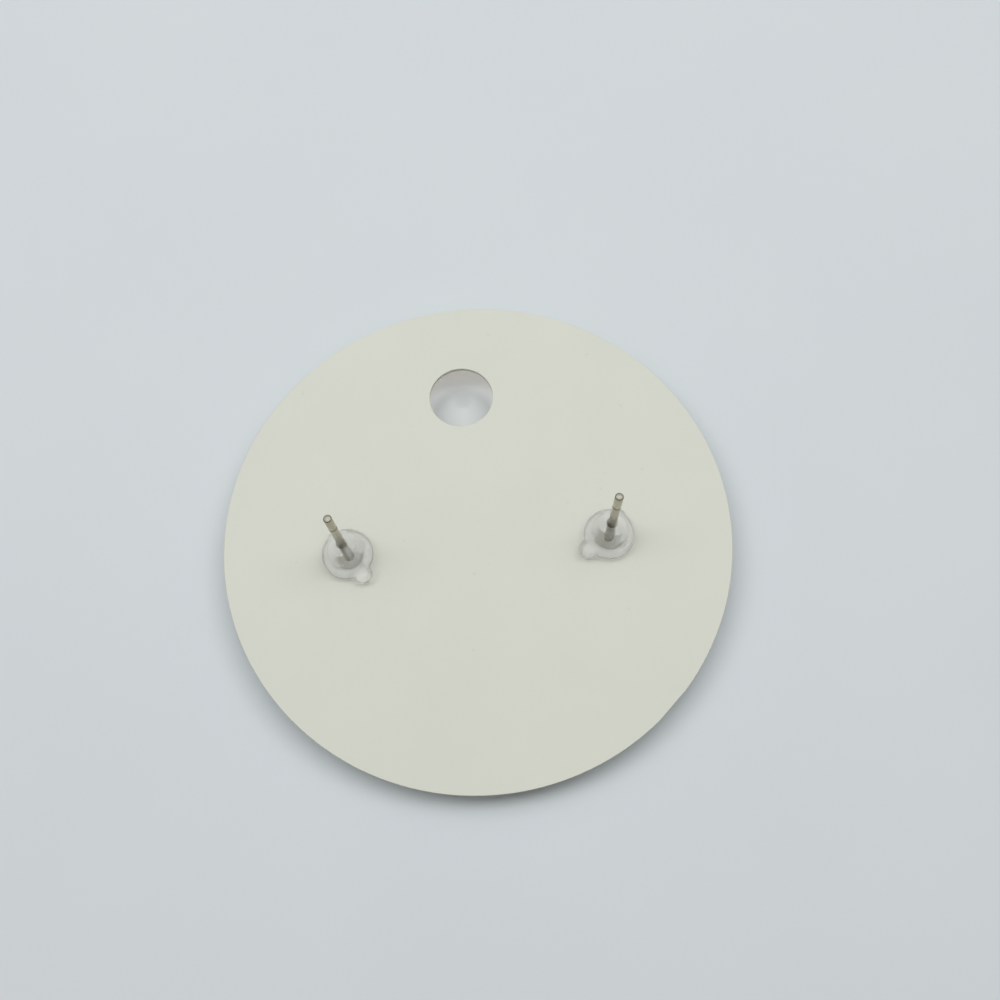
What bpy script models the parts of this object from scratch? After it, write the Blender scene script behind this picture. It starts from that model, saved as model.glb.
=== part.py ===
"""A pair of stud earrings on a round paper card, lying face down.

The card lies on the two stud fronts. Each post stands up through the card, and
a clear plastic ear nut is pushed on it. +Z is up, +Y runs to the hang hole, and
the origin is on the surface, under the card's centre. Lengths are in metres.
"""

import math

import bmesh
import bpy

MM = 0.001

# Card
CARD_RADIUS = 25.0 * MM
CARD_THICKNESS = 0.45 * MM
CARD_EDGE_ROUND = 0.04 * MM
CARD_SIDES = 160
HANG_HOLE_RADIUS = 3.27 * MM
HANG_HOLE_FROM_CENTRE = 14.72 * MM
HANG_HOLE_SIDES = 64
# The cut edge runs straight for a short way, at the lower right
CUT_FLAT_FROM = math.radians(-53.5)
CUT_FLAT_TO = math.radians(-45.5)

# Studs: a plain round front with the post soldered to its back
POST_SPACING = 25.55 * MM
POSTS_BELOW_CENTRE = 1.5 * MM
POST_LINE_TURN = math.radians(-2.68)
FRONT_RADIUS = 4.5 * MM
FRONT_THICKNESS = 3.2 * MM
FRONT_FACE_ROUND = 0.9 * MM
FRONT_BACK_ROUND = 0.25 * MM
POST_RADIUS = 0.39 * MM
POST_TIP_ABOVE_CARD = 11.45 * MM
POST_TIP_CHAMFER = 0.12 * MM
SOLDER_FILLET = 0.07 * MM
TIP_BEAD_LENGTH = 2.3 * MM
NECK_RADIUS = 0.355 * MM
NECK_SHOULDER = 0.1 * MM
NECK_LENGTH = 0.2 * MM
STUD_STEPS = 40

# Ear nuts: a thick flange with two lobes and a tapered barrel, all one moulding
FLANGE_RADIUS = 2.48 * MM
FLANGE_THICKNESS = 1.15 * MM
FLANGE_EDGE_ROUND = 0.3 * MM
BARREL_FOOT_RADIUS = 1.86 * MM
BARREL_FOOT_FILLET = 0.1 * MM
BARREL_TOP_RADIUS = 1.35 * MM
BARREL_TOP_ROUND = 0.12 * MM
EAR_NUT_HEIGHT = 4.1 * MM
FUNNEL_RADIUS = 0.54 * MM
FUNNEL_DEPTH = 0.35 * MM
EAR_NUT_STEPS = 48
LOBE_THICKNESS = 1.3 * MM
LOBE_EDGE_ROUND = 0.45 * MM
BIG_LOBE_RADIUS = 0.95 * MM
BIG_LOBE_REACH = 2.55 * MM
SMALL_LOBE_RADIUS = 0.6 * MM
SMALL_LOBE_REACH = 2.12 * MM
LOBE_STEPS = 32

# Clearances
CARD_ON_FRONT_GAP = 0.08 * MM
EAR_NUT_ON_CARD_GAP = 0.08 * MM
POST_IN_CARD_CLEARANCE = 0.12 * MM
POST_IN_EAR_NUT_CLEARANCE = 0.05 * MM

# How far a cutter passes the face that it cuts, and what counts as one point
CUT_PAST = 0.5 * MM
SAME_POINT = 0.001 * MM
SMOOTH_BELOW = math.radians(32.0)

# Heights that follow from the sizes above
CARD_BOTTOM = FRONT_THICKNESS + CARD_ON_FRONT_GAP
CARD_TOP = CARD_BOTTOM + CARD_THICKNESS
POST_TIP = CARD_TOP + POST_TIP_ABOVE_CARD
EAR_NUT_BASE = CARD_TOP + EAR_NUT_ON_CARD_GAP

# Each side: which way along the post line, and its lobes' directions
SIDES = {
    "left": {"along": -1.0, "big_lobe": math.radians(-59.0), "small_lobe": math.radians(122.0)},
    "right": {"along": 1.0, "big_lobe": math.radians(209.0), "small_lobe": math.radians(54.0)},
}


def clear_scene():
    """Remove whatever the open file holds."""
    for old in list(bpy.data.objects):
        bpy.data.objects.remove(old, do_unlink=True)


def make_material(name, colour, roughness, metallic=0.0, transmission=0.0):
    """A Principled material with the colour and finish of one piece."""
    material = bpy.data.materials.new(name)
    material.use_nodes = True
    shader = material.node_tree.nodes["Principled BSDF"]
    shader.inputs["Base Color"].default_value = (*colour, 1.0)
    shader.inputs["Roughness"].default_value = roughness
    shader.inputs["Metallic"].default_value = metallic
    shader.inputs["Transmission Weight"].default_value = transmission
    material.diffuse_color = (*colour, 1.0)
    return material


def card_paper():
    return make_material("cream_paper", (0.80, 0.79, 0.68), 0.75)


def stud_metal():
    return make_material("stud_steel", (0.60, 0.58, 0.53), 0.28, metallic=1.0)


def clear_plastic():
    return make_material("clear_plastic", (0.93, 0.94, 0.95), 0.08, transmission=0.9)


def make_object(name, bm, material):
    """Turn a bmesh into a smooth-shaded object."""
    bmesh.ops.recalc_face_normals(bm, faces=bm.faces)
    mesh = bpy.data.meshes.new(name)
    bm.to_mesh(mesh)
    bm.free()
    mesh.shade_smooth()
    mesh.set_sharp_from_angle(angle=SMOOTH_BELOW)
    made = bpy.data.objects.new(name, mesh)
    bpy.context.collection.objects.link(made)
    if material:
        mesh.materials.append(material)
    return made


def arc(centre_r, centre_z, radius_r, radius_z, start, end, steps):
    """Points on a quarter round of a turned profile, as (radius, height) pairs."""
    points = []
    for step in range(steps + 1):
        angle = math.radians(start + (end - start) * step / steps)
        points.append((centre_r + radius_r * math.cos(angle), centre_z + radius_z * math.sin(angle)))
    return points


def turn(profile, steps, closed):
    """Spin a (radius, height) profile about Z into a bmesh."""
    bm = bmesh.new()
    verts = [bm.verts.new((radius, 0.0, height)) for radius, height in profile]
    edges = [bm.edges.new(pair) for pair in zip(verts, verts[1:])]
    if closed:
        edges.append(bm.edges.new((verts[-1], verts[0])))
    bmesh.ops.spin(
        bm,
        geom=verts + edges,
        cent=(0.0, 0.0, 0.0),
        axis=(0.0, 0.0, 1.0),
        angle=math.tau,
        steps=steps,
        use_merge=True,
        use_duplicate=False,
    )
    bmesh.ops.remove_doubles(bm, verts=bm.verts, dist=SAME_POINT)
    return bm


def extrude_outline(points, bottom, top):
    """A flat-faced solid between two heights, from its outline's points."""
    bm = bmesh.new()
    face = bm.faces.new([bm.verts.new((x, y, bottom)) for x, y in points])
    raised = bmesh.ops.extrude_face_region(bm, geom=[face])["geom"]
    lifted = [item for item in raised if isinstance(item, bmesh.types.BMVert)]
    bmesh.ops.translate(bm, verts=lifted, vec=(0.0, 0.0, top - bottom))
    return bm


def combine(target, tool, operation):
    """Cut the tool out of the target, or join it to the target."""
    tool.hide_render = True
    tool.display_type = "WIRE"
    boolean = target.modifiers.new(f"{operation.lower()}_{tool.name}", "BOOLEAN")
    boolean.operation = operation
    boolean.solver = "EXACT"
    boolean.object = tool


def cutter_rod(name, x, y, radius, sides):
    """A wire rod that drills straight through the card."""
    points = []
    for step in range(sides):
        angle = math.tau * step / sides
        points.append((x + radius * math.cos(angle), y + radius * math.sin(angle)))
    bm = extrude_outline(points, CARD_BOTTOM - CUT_PAST, CARD_TOP + CUT_PAST)
    return make_object(name, bm, None)


def post_place(side):
    """Where a side's post stands on the card."""
    along = SIDES[side]["along"] * POST_SPACING / 2.0
    x = along * math.cos(POST_LINE_TURN)
    y = along * math.sin(POST_LINE_TURN) - POSTS_BELOW_CENTRE
    return x, y


def card_outline():
    """The card's round outline, with the short straight run in its cut edge."""
    points = []
    for step in range(CARD_SIDES):
        angle = math.tau * step / CARD_SIDES - math.pi
        if CUT_FLAT_FROM < angle < CUT_FLAT_TO:
            continue
        points.append((CARD_RADIUS * math.cos(angle), CARD_RADIUS * math.sin(angle)))
    return points


def make_card():
    """The round card, with its hang hole and a hole for each post."""
    bm = extrude_outline(card_outline(), CARD_BOTTOM, CARD_TOP)
    card = make_object("card", bm, card_paper())
    hang_hole = cutter_rod("hang_hole_cutter", 0.0, HANG_HOLE_FROM_CENTRE, HANG_HOLE_RADIUS, HANG_HOLE_SIDES)
    combine(card, hang_hole, "DIFFERENCE")
    for side in SIDES:
        x, y = post_place(side)
        radius = POST_RADIUS + POST_IN_CARD_CLEARANCE
        combine(card, cutter_rod(f"{side}_post_hole_cutter", x, y, radius, STUD_STEPS), "DIFFERENCE")
    edge = card.modifiers.new("edge_round", "BEVEL")
    edge.width = CARD_EDGE_ROUND
    edge.segments = 1
    edge.limit_method = "ANGLE"
    return card


def stud_profile():
    """The stud from the middle of its front face to the middle of its tip."""
    bead_end = POST_TIP - TIP_BEAD_LENGTH
    neck_top = bead_end - NECK_SHOULDER
    neck_bottom = neck_top - NECK_LENGTH
    taper_end = neck_bottom - (POST_RADIUS - NECK_RADIUS)
    face_r = FRONT_RADIUS - FRONT_FACE_ROUND
    back_r = FRONT_RADIUS - FRONT_BACK_ROUND
    fillet_r = POST_RADIUS + SOLDER_FILLET
    points = [(0.0, 0.0)]
    points += arc(face_r, FRONT_FACE_ROUND, FRONT_FACE_ROUND, FRONT_FACE_ROUND, -90, 0, 5)
    points += arc(back_r, FRONT_THICKNESS - FRONT_BACK_ROUND, FRONT_BACK_ROUND, FRONT_BACK_ROUND, 0, 90, 2)
    points += arc(fillet_r, FRONT_THICKNESS + SOLDER_FILLET, SOLDER_FILLET, SOLDER_FILLET, 270, 180, 2)
    points += [
        (POST_RADIUS, taper_end),
        (NECK_RADIUS, neck_bottom),
        (NECK_RADIUS, neck_top),
        (POST_RADIUS, bead_end),
        (POST_RADIUS, POST_TIP - POST_TIP_CHAMFER),
        (POST_RADIUS - POST_TIP_CHAMFER, POST_TIP),
        (0.0, POST_TIP),
    ]
    return points


def make_stud(side, metal):
    """A stud, face down, with its post standing up through the card."""
    stud = make_object(f"{side}_stud", turn(stud_profile(), STUD_STEPS, closed=False), metal)
    x, y = post_place(side)
    stud.location = (x, y, 0.0)
    return stud


def ear_nut_profile():
    """Half the section of a nut, right round: bore, flange, tapered barrel and funnel."""
    bore = POST_RADIUS + POST_IN_EAR_NUT_CLEARANCE
    rim_r = FLANGE_RADIUS - FLANGE_EDGE_ROUND
    rim_z = FLANGE_THICKNESS - FLANGE_EDGE_ROUND
    foot_r = BARREL_FOOT_RADIUS + BARREL_FOOT_FILLET
    foot_z = FLANGE_THICKNESS + BARREL_FOOT_FILLET
    top_r = BARREL_TOP_RADIUS - BARREL_TOP_ROUND
    top_z = EAR_NUT_HEIGHT - BARREL_TOP_ROUND
    points = [(bore, 0.0)]
    points += arc(rim_r, FLANGE_EDGE_ROUND, FLANGE_EDGE_ROUND, FLANGE_EDGE_ROUND, -90, 0, 3)
    points += arc(rim_r, rim_z, FLANGE_EDGE_ROUND, FLANGE_EDGE_ROUND, 0, 90, 3)
    points += arc(foot_r, foot_z, BARREL_FOOT_FILLET, BARREL_FOOT_FILLET, 270, 190, 2)
    points += arc(top_r, top_z, BARREL_TOP_ROUND, BARREL_TOP_ROUND, 10, 90, 3)
    points += [(FUNNEL_RADIUS, EAR_NUT_HEIGHT), (bore, EAR_NUT_HEIGHT - FUNNEL_DEPTH)]
    return points


def lobe_profile(radius):
    """A round-edged disc that stands on the flange's base."""
    inner = radius - LOBE_EDGE_ROUND
    upper = LOBE_THICKNESS - LOBE_EDGE_ROUND
    points = [(0.0, 0.0)]
    points += arc(inner, LOBE_EDGE_ROUND, LOBE_EDGE_ROUND, LOBE_EDGE_ROUND, -90, 0, 3)
    points += arc(inner, upper, LOBE_EDGE_ROUND, LOBE_EDGE_ROUND, 0, 90, 3)
    points += [(0.0, LOBE_THICKNESS)]
    return points


def make_lobe(name, nut, angle, radius, reach):
    """One lobe, joined to the nut's flange."""
    lobe = make_object(name, turn(lobe_profile(radius), LOBE_STEPS, closed=False), None)
    lobe.location = (reach * math.cos(angle), reach * math.sin(angle), 0.0)
    lobe.parent = nut
    combine(nut, lobe, "UNION")


def make_ear_nut(side, plastic):
    """A clear ear nut. Its origin is on its post's axis, along which it slides."""
    nut = make_object(f"{side}_ear_nut", turn(ear_nut_profile(), EAR_NUT_STEPS, closed=True), plastic)
    x, y = post_place(side)
    nut.location = (x, y, EAR_NUT_BASE)
    lobes = SIDES[side]
    make_lobe(f"{side}_big_lobe", nut, lobes["big_lobe"], BIG_LOBE_RADIUS, BIG_LOBE_REACH)
    make_lobe(f"{side}_small_lobe", nut, lobes["small_lobe"], SMALL_LOBE_RADIUS, SMALL_LOBE_REACH)
    return nut


def main():
    clear_scene()
    make_card()
    metal = stud_metal()
    plastic = clear_plastic()
    for side in SIDES:
        make_stud(side, metal)
        make_ear_nut(side, plastic)


main()
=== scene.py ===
import math

import bpy
from mathutils import Matrix, Vector


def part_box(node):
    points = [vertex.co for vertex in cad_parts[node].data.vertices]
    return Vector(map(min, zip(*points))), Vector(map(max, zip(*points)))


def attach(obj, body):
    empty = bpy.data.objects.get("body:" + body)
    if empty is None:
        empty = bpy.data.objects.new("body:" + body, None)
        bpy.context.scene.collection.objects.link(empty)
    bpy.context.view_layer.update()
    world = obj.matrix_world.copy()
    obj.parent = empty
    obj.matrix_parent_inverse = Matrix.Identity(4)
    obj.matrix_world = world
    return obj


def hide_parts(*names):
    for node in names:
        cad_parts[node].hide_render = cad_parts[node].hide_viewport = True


# A pair of stud earrings on a round paper card, seen from the card's back.
# Lengths are in metres. The origin is on the surface, under the card's centre,
# +Y runs to the hang hole and +Z is up.

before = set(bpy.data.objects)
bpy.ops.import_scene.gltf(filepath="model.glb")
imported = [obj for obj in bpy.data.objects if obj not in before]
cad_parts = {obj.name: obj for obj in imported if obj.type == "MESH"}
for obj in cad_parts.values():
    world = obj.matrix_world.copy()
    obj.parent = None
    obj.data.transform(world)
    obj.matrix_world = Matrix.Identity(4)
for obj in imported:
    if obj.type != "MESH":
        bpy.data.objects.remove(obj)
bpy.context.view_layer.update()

MM = 0.001

# The solids' own places and sizes, repeated here for the finer pieces that stand for them
HANG_HOLE_FROM_CENTRE = 14.72 * MM
CARD_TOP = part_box("card")[1].z
CARD_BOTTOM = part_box("card")[0].z
POST_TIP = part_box("left_stud")[1].z
POST_SPACING = 25.55 * MM
POSTS_BELOW_CENTRE = 1.5 * MM
POST_LINE_TURN = math.radians(-2.68)
SAME_POINT = 0.001 * MM
SMOOTH_BELOW = math.radians(32.0)

# Each side: which way along the post line, and which ways its nut's lobes point
SIDES = {
    "left": {"along": -1.0, "big_lobe": math.radians(-59.0), "small_lobe": math.radians(122.0)},
    "right": {"along": 1.0, "big_lobe": math.radians(209.0), "small_lobe": math.radians(54.0)},
}

# An ear nut: its flange, its tapered barrel with the funnel and bore, and its lobes
EAR_NUT = {
    "flange_radius": 2.48 * MM,
    "flange_top": 1.15 * MM,
    "flange_round": 0.3 * MM,
    "foot_radius": 1.86 * MM,
    "foot_fillet": 0.1 * MM,
    "top_radius": 1.35 * MM,
    "top_round": 0.12 * MM,
    "height": 4.1 * MM,
    "funnel_radius": 0.54 * MM,
    "funnel_round": 0.06 * MM,
    "funnel_depth": 0.35 * MM,
    "bore": 0.44 * MM,
    "lobe_top": 1.3 * MM,
    "lobe_round": 0.45 * MM,
    "big_radius": 0.95 * MM,
    "big_reach": 2.55 * MM,
    "small_radius": 0.6 * MM,
    "small_reach": 2.12 * MM,
    "steps": 128,
    "lobe_steps": 48,
}

# The stud, from its front up to the tip, with a rolled neck below the tip's bead
STUD = {
    "front_radius": 4.5 * MM,
    "front_thickness": 3.2 * MM,
    "face_round": 0.9 * MM,
    "back_round": 0.25 * MM,
    "solder": 0.07 * MM,
    "post_radius": 0.39 * MM,
    "tip_chamfer": 0.12 * MM,
    "bead_length": 2.3 * MM,
    "bead_shoulder": 0.1 * MM,
    "neck_radius": 0.355 * MM,
    "neck_length": 0.2 * MM,
    "steps": 96,
}

# Where the photograph was taken from: the lens centre above the card's back,
# the way the camera faces, and its focal length over the picture's width
CAMERA_PLACE = Vector((0.56, -30.21, 92.9)) * MM + Vector((0.0, 0.0, CARD_TOP))
CAMERA_HEADING = math.radians(3.57)
CAMERA_DIP = math.radians(70.3)
CAMERA_ROLL = math.radians(-3.49)
FOCAL_OVER_WIDTH = 0.9908
SENSOR_WIDTH = 36.0

# On the surface under the hang hole: the middle of the light that falls straight
# through it, where X is narrowed by a little, the clear disc in that light, and
# the dimmer patch beside the disc
HOLE_NARROWING = 0.86
UNDER_HOLE = (-0.13 * MM, 14.45 * MM)
LIT_DISC = (-0.2 * MM, 13.88 * MM)
DIM_PATCH = (0.1 * MM, 15.9 * MM)

# How wide the surface is, and how far off the room's light on it starts and is full
SURFACE_WIDTH = 6.0
FAR_FROM, FAR_TO = 0.15, 1.3

# The overhead boxes: height, the slope that the middle leans by, and the slopes
# that the width and depth span as seen from the object
LIGHT_BOXES = {
    "key_box": {"height": 0.5, "lean": 0.12, "width": 1.7, "depth": 0.3, "radiance": 3.26},
    "back_box": {"height": 0.25, "lean": 0.35, "width": 1.4, "depth": 0.3, "radiance": 1.2},
    "ceiling": {"height": 0.8, "lean": 0.1, "width": 2.6, "depth": 2.4, "radiance": 0.25},
}

# The room's own light is warm, as wood and walls throw it back, and it is seen pale
ROOM_GLOW = (0.09, 0.072, 0.056)
ROOM_SEEN = (0.589, 0.608, 0.62)


class Value:
    """A shader socket that adds Math nodes when it is used in an expression."""

    def __init__(self, tree, socket):
        self.tree = tree
        self.socket = socket

    def combine(self, operation, *operands):
        return add_node(self.tree, "ShaderNodeMath", {"operation": operation}, dict(enumerate(operands)))

    def __add__(self, other):
        return self.combine("ADD", self, other)

    def __sub__(self, other):
        return self.combine("SUBTRACT", self, other)

    def __rsub__(self, other):
        return self.combine("SUBTRACT", other, self)

    def __mul__(self, other):
        return self.combine("MULTIPLY", self, other)

    __radd__ = __add__
    __rmul__ = __mul__

    def between(self, low, high, start=0.0, end=1.0):
        """This value's place between two levels, eased and held at both ends."""
        settings = {"interpolation_type": "SMOOTHSTEP", "clamp": True}
        levels = {"Value": self, "From Min": low, "From Max": high, "To Min": start, "To Max": end}
        return add_node(self.tree, "ShaderNodeMapRange", settings, levels)


def add_node(tree, kind, settings=None, inputs=None, output=0):
    """Add one node: its settings first, then its sockets' values or links."""
    node = tree.nodes.new(kind)
    for name, value in (settings or {}).items():
        setattr(node, name, value)
    for name, value in (inputs or {}).items():
        if isinstance(value, Value):
            tree.links.new(value.socket, node.inputs[name])
        else:
            node.inputs[name].default_value = value
    return Value(tree, node.outputs[output])


def mixed(tree, factor, first, second, blend="MIX"):
    """Mix two colours, each given as a socket or as red, green and blue."""
    colours = [colour if isinstance(colour, Value) else (*colour, 1.0) for colour in (first, second)]
    settings = {"data_type": "RGBA", "blend_type": blend, "clamp_factor": True}
    return add_node(tree, "ShaderNodeMix", settings, {0: factor, 6: colours[0], 7: colours[1]}, 2)


class Finish:
    """A material under way: its Principled shader and the places it is read at."""

    def __init__(self, name):
        self.material = bpy.data.materials.new(name)
        self.material.use_nodes = True
        self.tree = self.material.node_tree
        self.shader = self.tree.nodes["Principled BSDF"]
        self.place = self.node("ShaderNodeTexCoord", output="Object")

    def node(self, kind, settings=None, inputs=None, output=0):
        return add_node(self.tree, kind, settings, inputs, output)

    def set(self, **values):
        for name, value in values.items():
            socket = self.shader.inputs[name.replace("_", " ")]
            if isinstance(value, Value):
                self.tree.links.new(value.socket, socket)
            else:
                socket.default_value = value

    def moved(self, place=(0, 0, 0), turn=(0, 0, 0), scale=(1, 1, 1)):
        """Object coordinates, moved, turned and stretched."""
        values = {"Vector": self.place, "Location": place, "Rotation": turn, "Scale": scale}
        return self.node("ShaderNodeMapping", {"vector_type": "POINT"}, values)

    def axis(self, name, place=None):
        """One coordinate of a place on the piece, in metres."""
        return self.node("ShaderNodeSeparateXYZ", None, {"Vector": place or self.place}, name)

    def reach_from(self, middle, place=None):
        """How far a place is from an upright axis, in metres."""
        out = self.axis("X", place) - middle[0]
        across = self.axis("Y", place) - middle[1]
        return out.combine("SQRT", out * out + across * across)

    def noise(self, size, detail=3.0, roughness=0.5, place=None, distortion=0.0):
        """Cloudy noise whose lumps are about one size, in metres."""
        values = {
            "Vector": place or self.place,
            "Scale": 1.0 / size,
            "Detail": detail,
            "Roughness": roughness,
            "Distortion": distortion,
        }
        return self.node("ShaderNodeTexNoise", {"noise_dimensions": "3D"}, values, "Fac")

    def mix(self, factor, first, second, blend="MIX"):
        """One colour laid over another."""
        return mixed(self.tree, factor, first, second, blend)

    def bump(self, height, depth):
        """A Bump normal: the height's 0 to 1 stands for a depth in metres."""
        return self.node("ShaderNodeBump", None, {"Height": height, "Distance": depth, "Strength": 1.0})


def card_paper():
    """Uncoated cream card: soft fibres, faint clouds and flecks, and a cut edge with painted shade round the
    outside and painted light in the hang hole.
    """
    paper = Finish("cream_card_paper")
    cloud = paper.noise(9.0 * MM, 4.0, 0.55)
    fibre_grain = paper.noise(0.12 * MM, 5.0, 0.65)
    pulp = paper.noise(0.7 * MM, 4.0, 0.6, distortion=0.6)
    apart = paper.moved(place=(31.0 * MM, 12.0 * MM, 0.0))
    flecks = paper.noise(0.9 * MM, 1.0, 0.5, apart)
    tone = paper.mix(cloud.between(0.3, 0.7), (0.702, 0.737, 0.662), (0.72, 0.753, 0.674))
    tone = paper.mix(fibre_grain.between(0.3, 0.7) * 0.35, tone, (0.742, 0.771, 0.704))
    tone = paper.mix(flecks.between(0.76, 0.8) * 0.25, tone, (0.62, 0.61, 0.53))
    # The cut edge is what lies between the two faces. Round the outside it carries painted shade, and in the
    # hang hole painted light.
    level = paper.axis("Z")
    below_face = level.between(CARD_TOP - 0.05 * MM, CARD_TOP - 0.02 * MM, 1.0, 0.0)
    cut_edge = below_face * level.between(CARD_BOTTOM + 0.02 * MM, CARD_BOTTOM + 0.05 * MM)
    painted_light_in_hole = paper.reach_from((0.0, HANG_HOLE_FROM_CENTRE)).between(3.5 * MM, 4.0 * MM, 1.0, 0.0)
    # Dark tone: painted shade on the outer cut edge. Pale tone: painted light on the hang hole's cut edge.
    cut_edge_shade_and_light = paper.mix(painted_light_in_hole, (0.5, 0.45, 0.38), (0.93, 0.9, 0.78))
    tone = paper.mix(cut_edge * pulp.between(0.3, 0.6, 0.7, 1.0), tone, cut_edge_shade_and_light)
    paper.set(
        Base_Color=tone,
        Roughness=fibre_grain.between(0.2, 0.8, 0.74, 0.88),
        Specular_IOR_Level=0.3,
        Normal=paper.bump(fibre_grain * 0.6 + pulp * 0.4, 0.006 * MM),
    )
    return paper.material


def stud_metal():
    """Silver-grey stud metal: fine turned lines, a dull sawn tip and neck, and painted shade low on the stud,
    up past the nut.
    """
    metal = Finish("polished_stud_metal")
    along = metal.moved(scale=(1.0, 1.0, 18.0))
    lines = metal.noise(0.35 * MM, 3.0, 0.6, along)
    smears = metal.noise(0.9 * MM, 3.0, 0.55)
    level = metal.axis("Z")
    sawn_tip = level.between(POST_TIP - 0.02 * MM, POST_TIP - 0.01 * MM)
    # Painted shade: full up to 4 mm above the card, fading out by 8.2 mm above it.
    painted_shade_near_nut = level.between(CARD_TOP + 4.0 * MM, CARD_TOP + 8.2 * MM, 1.0, 0.0)
    chamfer = level.between(POST_TIP - 0.13 * MM, POST_TIP - 0.11 * MM)
    neck_level = POST_TIP - STUD["bead_length"] - STUD["bead_shoulder"]
    above_neck = level.between(neck_level - 0.32 * MM, neck_level - 0.22 * MM)
    rolled_neck = above_neck * level.between(neck_level + 0.08 * MM, neck_level + 0.16 * MM, 1.0, 0.0)
    dulled = rolled_neck * 0.3 + chamfer * 0.06 + sawn_tip * 0.3
    tone = metal.mix(smears.between(0.3, 0.7), (0.43, 0.4, 0.325), (0.52, 0.48, 0.395))
    # Painted shade on the front and on the post near the nut.
    tone = metal.mix(painted_shade_near_nut, tone, (0.21, 0.19, 0.145))
    tone = metal.mix(sawn_tip, tone, (0.41, 0.41, 0.345))
    metal.set(
        Base_Color=tone,
        Metallic=1.0,
        Roughness=lines.between(0.25, 0.75, 0.14, 0.26) + dulled,
        Normal=metal.bump(lines, 0.0015 * MM),
    )
    return metal.material


def clear_plastic():
    """Clear soft plastic with a slight haze, which shows the metal that its bore grips."""
    plastic = Finish("clear_moulded_plastic")
    waves = plastic.noise(1.1 * MM, 2.0, 0.4)
    scuffs = plastic.noise(0.16 * MM, 4.0, 0.6)
    posts = plastic.moved(place=(0.0, POSTS_BELOW_CENTRE, 0.0), turn=(0.0, 0.0, -POST_LINE_TURN))
    nearer_post = plastic.node("ShaderNodeVectorMath", {"operation": "ABSOLUTE"}, {0: posts})
    from_post = plastic.reach_from((POST_SPACING / 2.0, 0.0), nearer_post)
    gripped = from_post.between(0.46 * MM, 0.48 * MM, 1.0, 0.0)
    plastic.set(
        Base_Color=plastic.mix(gripped, (0.9, 0.9, 0.93), (0.56, 0.53, 0.46)),
        Roughness=scuffs.between(0.35, 0.75, 0.18, 0.28),
        Metallic=gripped,
        IOR=1.41,
        Alpha=from_post.between(1.95 * MM, 2.35 * MM, 0.62, 0.48),
        Transmission_Weight=1.0,
        Normal=plastic.bump(waves, 0.01 * MM),
    )
    return plastic.material


def pale_surface():
    """The smooth pale board under the card, the light in the hang hole and the lit room far off."""
    board = Finish("pale_board")
    cloud = board.noise(30.0 * MM, 4.0, 0.5)
    tooth = board.noise(0.25 * MM, 3.0, 0.6)
    tone = board.mix(cloud.between(0.3, 0.7), (0.689, 0.75, 0.785), (0.703, 0.763, 0.797))
    oval = board.moved(scale=(HOLE_NARROWING, 1.0, 1.0))
    from_hole = board.reach_from(UNDER_HOLE, oval)
    # Painted warm shade on the surface under the hang hole.
    painted_warm_shade_under_hole = from_hole.between(3.2 * MM, 4.4 * MM, 1.0, 0.0)
    tone = board.mix(painted_warm_shade_under_hole, tone, (1.0, 0.965, 0.935), "MULTIPLY")
    lit_disc = board.reach_from(LIT_DISC).between(1.3 * MM, 1.5 * MM)
    dim = board.reach_from(DIM_PATCH).between(0.3 * MM, 1.2 * MM, 1.0, 0.0)
    tone = board.mix(dim * lit_disc, tone, (0.88, 0.88, 0.885), "MULTIPLY")
    slanting = from_hole.between(2.3 * MM, 3.6 * MM) * from_hole.between(5.2 * MM, 6.0 * MM, 1.0, 0.0)
    glow = board.mix(from_hole.between(3.3 * MM, 4.5 * MM), (0.252, 0.25, 0.25), (0.286, 0.256, 0.237))
    hole_light = board.mix(slanting, (0.0, 0.0, 0.0), glow)
    far_off = board.reach_from((0.0, 0.0)).between(FAR_FROM, FAR_TO)
    board.set(
        Base_Color=tone,
        Roughness=0.8,
        Specular_IOR_Level=0.2,
        Emission_Color=board.mix(far_off, hole_light, (0.53, 0.55, 0.562)),
        Emission_Strength=1.0,
        Normal=board.bump(tooth, 0.004 * MM),
    )
    return board.material


def facing(forward, roll):
    """The rotation of a camera that looks along a direction, rolled from upright."""
    side = forward.cross(Vector((0.0, 0.0, 1.0))).normalized()
    top = side.cross(forward)
    turned_side = side * math.cos(roll) + top * math.sin(roll)
    turned_top = top * math.cos(roll) - side * math.sin(roll)
    return Matrix((turned_side, turned_top, -forward)).transposed()


def add_camera():
    """The camera, where the photograph was taken from."""
    bpy.ops.object.camera_add()
    camera = bpy.context.object
    camera.name = "photograph_camera"
    forward = Vector(
        (
            math.sin(CAMERA_HEADING) * math.cos(CAMERA_DIP),
            math.cos(CAMERA_HEADING) * math.cos(CAMERA_DIP),
            -math.sin(CAMERA_DIP),
        )
    )
    camera.matrix_world = Matrix.LocRotScale(CAMERA_PLACE, facing(forward, CAMERA_ROLL), None)
    camera.data.sensor_width = SENSOR_WIDTH
    camera.data.lens = SENSOR_WIDTH * FOCAL_OVER_WIDTH
    camera.data.clip_start = 1.0 * MM
    camera.data.clip_end = 20.0
    bpy.context.scene.camera = camera


def soft_light(name, place, width, depth, radiance):
    """A soft box over the object, its face level with the surface."""
    bpy.ops.object.light_add(type="AREA", location=place)
    lamp = bpy.context.object
    lamp.name = name
    lamp.data.shape = "RECTANGLE"
    lamp.data.size = width
    lamp.data.size_y = depth
    lamp.data.energy = 4.0 * width * depth * radiance
    lamp.visible_camera = False


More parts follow.
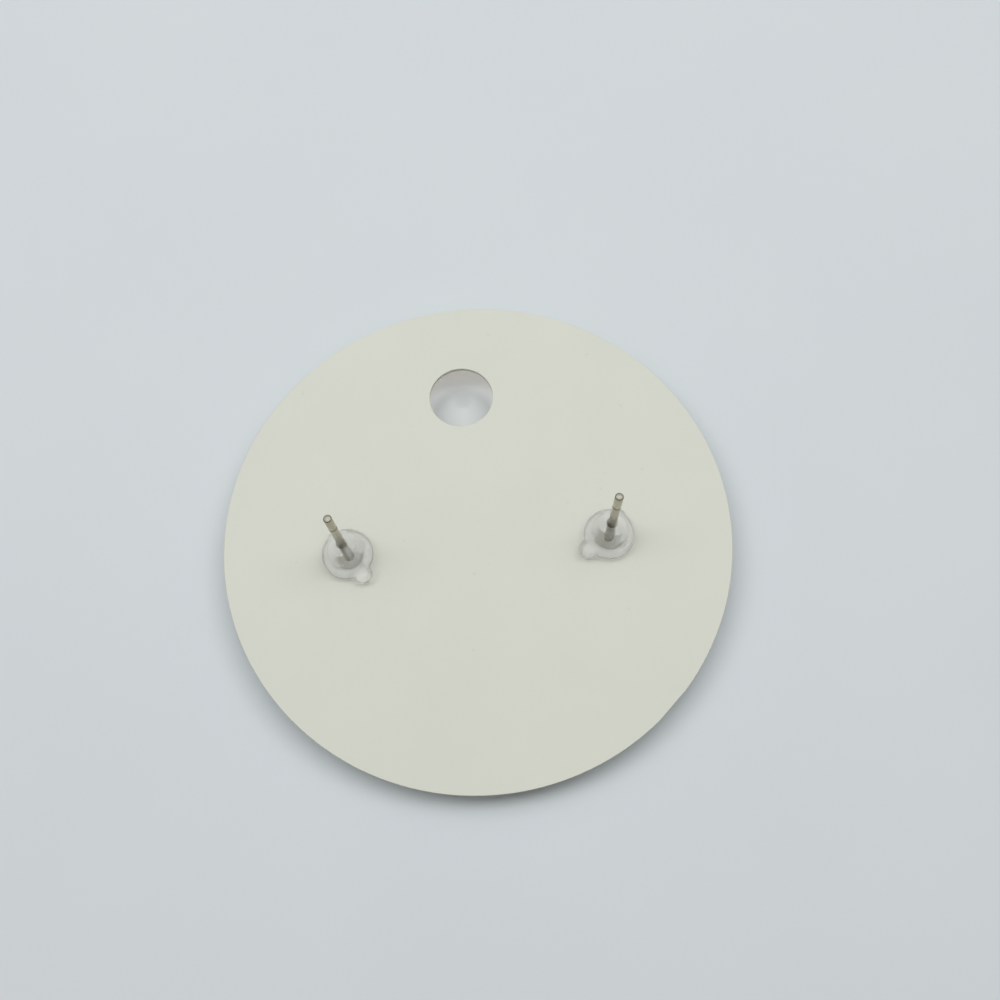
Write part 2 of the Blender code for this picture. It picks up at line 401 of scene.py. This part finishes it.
def add_lights():
    """Wide boxes and a ceiling of soft light overhead, in a pale room."""
    for name, box in LIGHT_BOXES.items():
        height = box["height"]
        place = (0.0, box["lean"] * height, height)
        soft_light(name, place, box["width"] * height, box["depth"] * height, box["radiance"])
    world = bpy.data.worlds.new("pale_room")
    bpy.context.scene.world = world
    world.use_nodes = True
    tree = world.node_tree
    seen = add_node(tree, "ShaderNodeLightPath", output="Is Camera Ray")
    tree.links.new(mixed(tree, seen, ROOM_GLOW, ROOM_SEEN).socket, tree.nodes["Background"].inputs["Color"])
    bpy.context.scene.view_settings.view_transform = "Standard"


def add_floor():
    """The surface under the card, wide enough for every view."""
    bpy.ops.mesh.primitive_plane_add(size=SURFACE_WIDTH)
    floor = bpy.context.object
    floor.name = "pale_surface"
    floor.data.materials.append(pale_surface())


def dress(node, material):
    """Give a CAD node a finish on each of its slots."""
    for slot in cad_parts[node].material_slots:
        slot.material = material


def arc(middle, bend, start, end, steps):
    """Points on part of a circle in a turned profile, as (radius, height) pairs."""
    points = []
    for step in range(steps + 1):
        angle = math.radians(start + (end - start) * step / steps)
        points.append((middle[0] + bend * math.cos(angle), middle[1] + bend * math.sin(angle)))
    return points


def turned(name, profile, axis, steps, closed):
    """Draw half a section point by point beside an upright axis, and spin it round."""
    bpy.ops.object.select_all(action="DESELECT")
    bpy.ops.mesh.primitive_plane_add(size=1.0 * MM)
    piece = bpy.context.object
    piece.name = name
    bpy.ops.object.mode_set(mode="EDIT")
    bpy.ops.mesh.select_all(action="SELECT")
    bpy.ops.mesh.merge(type="CENTER")
    places = [Vector((axis[0] + radius, axis[1], height)) for radius, height in profile]
    bpy.ops.transform.translate(value=places[0])
    for here, there in zip(places, places[1:]):
        bpy.ops.mesh.extrude_vertices_move(TRANSFORM_OT_translate={"value": there - here})
    if closed:
        bpy.ops.mesh.select_all(action="DESELECT")
        bpy.ops.object.mode_set(mode="OBJECT")
        for end in (0, len(places) - 1):
            piece.data.vertices[end].select = True
        bpy.ops.object.mode_set(mode="EDIT")
        bpy.ops.mesh.edge_face_add()
    bpy.ops.mesh.select_all(action="SELECT")
    bpy.ops.mesh.spin(steps=steps, angle=math.tau, center=(axis[0], axis[1], 0.0), axis=(0.0, 0.0, 1.0))
    bpy.ops.mesh.select_all(action="SELECT")
    bpy.ops.mesh.remove_doubles(threshold=SAME_POINT)
    bpy.ops.mesh.normals_make_consistent(inside=False)
    bpy.ops.object.mode_set(mode="OBJECT")
    return piece


def joined(piece, other):
    """Weld another closed piece on, so that no wall is left inside."""
    weld = piece.modifiers.new("weld", "BOOLEAN")
    weld.operation = "UNION"
    weld.solver = "EXACT"
    weld.object = other
    bpy.ops.object.select_all(action="DESELECT")
    piece.select_set(True)
    bpy.context.view_layer.objects.active = piece
    bpy.ops.object.modifier_apply(modifier=weld.name)
    bpy.data.objects.remove(other, do_unlink=True)


def smoothed(piece):
    """Shade smooth, apart from the creases that are sharper than an angle."""
    bpy.ops.object.select_all(action="DESELECT")
    piece.select_set(True)
    bpy.context.view_layer.objects.active = piece
    bpy.ops.object.shade_smooth_by_angle(angle=SMOOTH_BELOW)


def post_place(side):
    """Where a side's post stands on the card."""
    along = SIDES[side]["along"] * POST_SPACING / 2.0
    x = along * math.cos(POST_LINE_TURN)
    y = along * math.sin(POST_LINE_TURN) - POSTS_BELOW_CENTRE
    return x, y


def ear_nut_profile(base):
    """Half the section of a nut: bore, flange, tapered barrel and funnel."""
    bore, top, rim_top = EAR_NUT["bore"], EAR_NUT["height"], EAR_NUT["flange_top"]
    soft = EAR_NUT["flange_round"]
    edge = EAR_NUT["flange_radius"] - soft
    fillet = EAR_NUT["foot_fillet"]
    crown = EAR_NUT["top_round"]
    lip = EAR_NUT["funnel_round"]
    points = [(bore, 0.0)]
    points += arc((edge, soft), soft, -90, 0, 6)
    points += arc((edge, rim_top - soft), soft, 0, 90, 6)
    points += arc((EAR_NUT["foot_radius"] + fillet, rim_top + fillet), fillet, 270, 190, 5)
    points += arc((EAR_NUT["top_radius"] - crown, top - crown), crown, 10, 90, 6)
    points += arc((EAR_NUT["funnel_radius"] + lip, top - lip), lip, 90, 150, 4)
    points += [(bore, top - EAR_NUT["funnel_depth"])]
    return [(radius, base + height) for radius, height in points]


def lobe_profile(radius, base):
    """A soft-edged disc on the flange's base."""
    top, edge = EAR_NUT["lobe_top"], EAR_NUT["lobe_round"]
    points = [(0.0, 0.0)]
    points += arc((radius - edge, edge), edge, -90, 0, 6)
    points += arc((radius - edge, top - edge), edge, 0, 90, 6)
    points += [(0.0, top)]
    return [(reach, base + height) for reach, height in points]


def make_ear_nut(side, plastic):
    """One clear nut, in place of its solid: turned body with two lobes welded on."""
    x, y = post_place(side)
    node = f"{side}_ear_nut"
    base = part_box(node)[0].z
    nut = turned(f"{side}_clear_nut", ear_nut_profile(base), (x, y), EAR_NUT["steps"], closed=True)
    for lobe in ("big", "small"):
        angle = SIDES[side][f"{lobe}_lobe"]
        reach, radius = EAR_NUT[f"{lobe}_reach"], EAR_NUT[f"{lobe}_radius"]
        axis = (x + reach * math.cos(angle), y + reach * math.sin(angle))
        profile = lobe_profile(radius, base)
        joined(nut, turned(f"{side}_{lobe}_lobe", profile, axis, EAR_NUT["lobe_steps"], closed=False))
    smoothed(nut)
    nut.data.materials.clear()
    nut.data.materials.append(plastic)
    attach(nut, f"{side}_nut")
    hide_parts(node)


def stud_profile():
    """The stud from the middle of its front face to the middle of its tip."""
    front, thick = STUD["front_radius"], STUD["front_thickness"]
    post, neck, shoulder = STUD["post_radius"], STUD["neck_radius"], STUD["bead_shoulder"]
    face, back, solder, chamfer = STUD["face_round"], STUD["back_round"], STUD["solder"], STUD["tip_chamfer"]
    bead_end = POST_TIP - STUD["bead_length"]
    neck_top = bead_end - shoulder
    neck_bottom = neck_top - STUD["neck_length"]
    taper_end = neck_bottom - (post - neck)
    points = [(0.0, 0.0)]
    points += arc((front - face, face), face, -90, 0, 14)
    points += arc((front - back, thick - back), back, 0, 90, 6)
    points += arc((post + solder, thick + solder), solder, 270, 180, 5)
    points += [(post, taper_end), (neck, neck_bottom), (neck, neck_top)]
    points += arc((post - shoulder, bead_end), shoulder, -50, 0, 4)
    points += [(post, POST_TIP - chamfer)]
    points += [(post - 0.35 * chamfer, POST_TIP - 0.4 * chamfer), (post - chamfer, POST_TIP), (0.0, POST_TIP)]
    return points


def make_stud(side, metal):
    """One stud, in place of its solid: a plain round front and its soldered post."""
    node = f"{side}_stud"
    stud = turned(f"{side}_polished_stud", stud_profile(), post_place(side), STUD["steps"], closed=False)
    smoothed(stud)
    stud.data.materials.clear()
    stud.data.materials.append(metal)
    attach(stud, "card_with_studs")
    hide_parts(node)


bpy.ops.object.select_all(action="DESELECT")
add_camera()
add_lights()
add_floor()
dress("card", card_paper())
metal = stud_metal()
plastic = clear_plastic()
for side in SIDES:
    make_stud(side, metal)
    make_ear_nut(side, plastic)
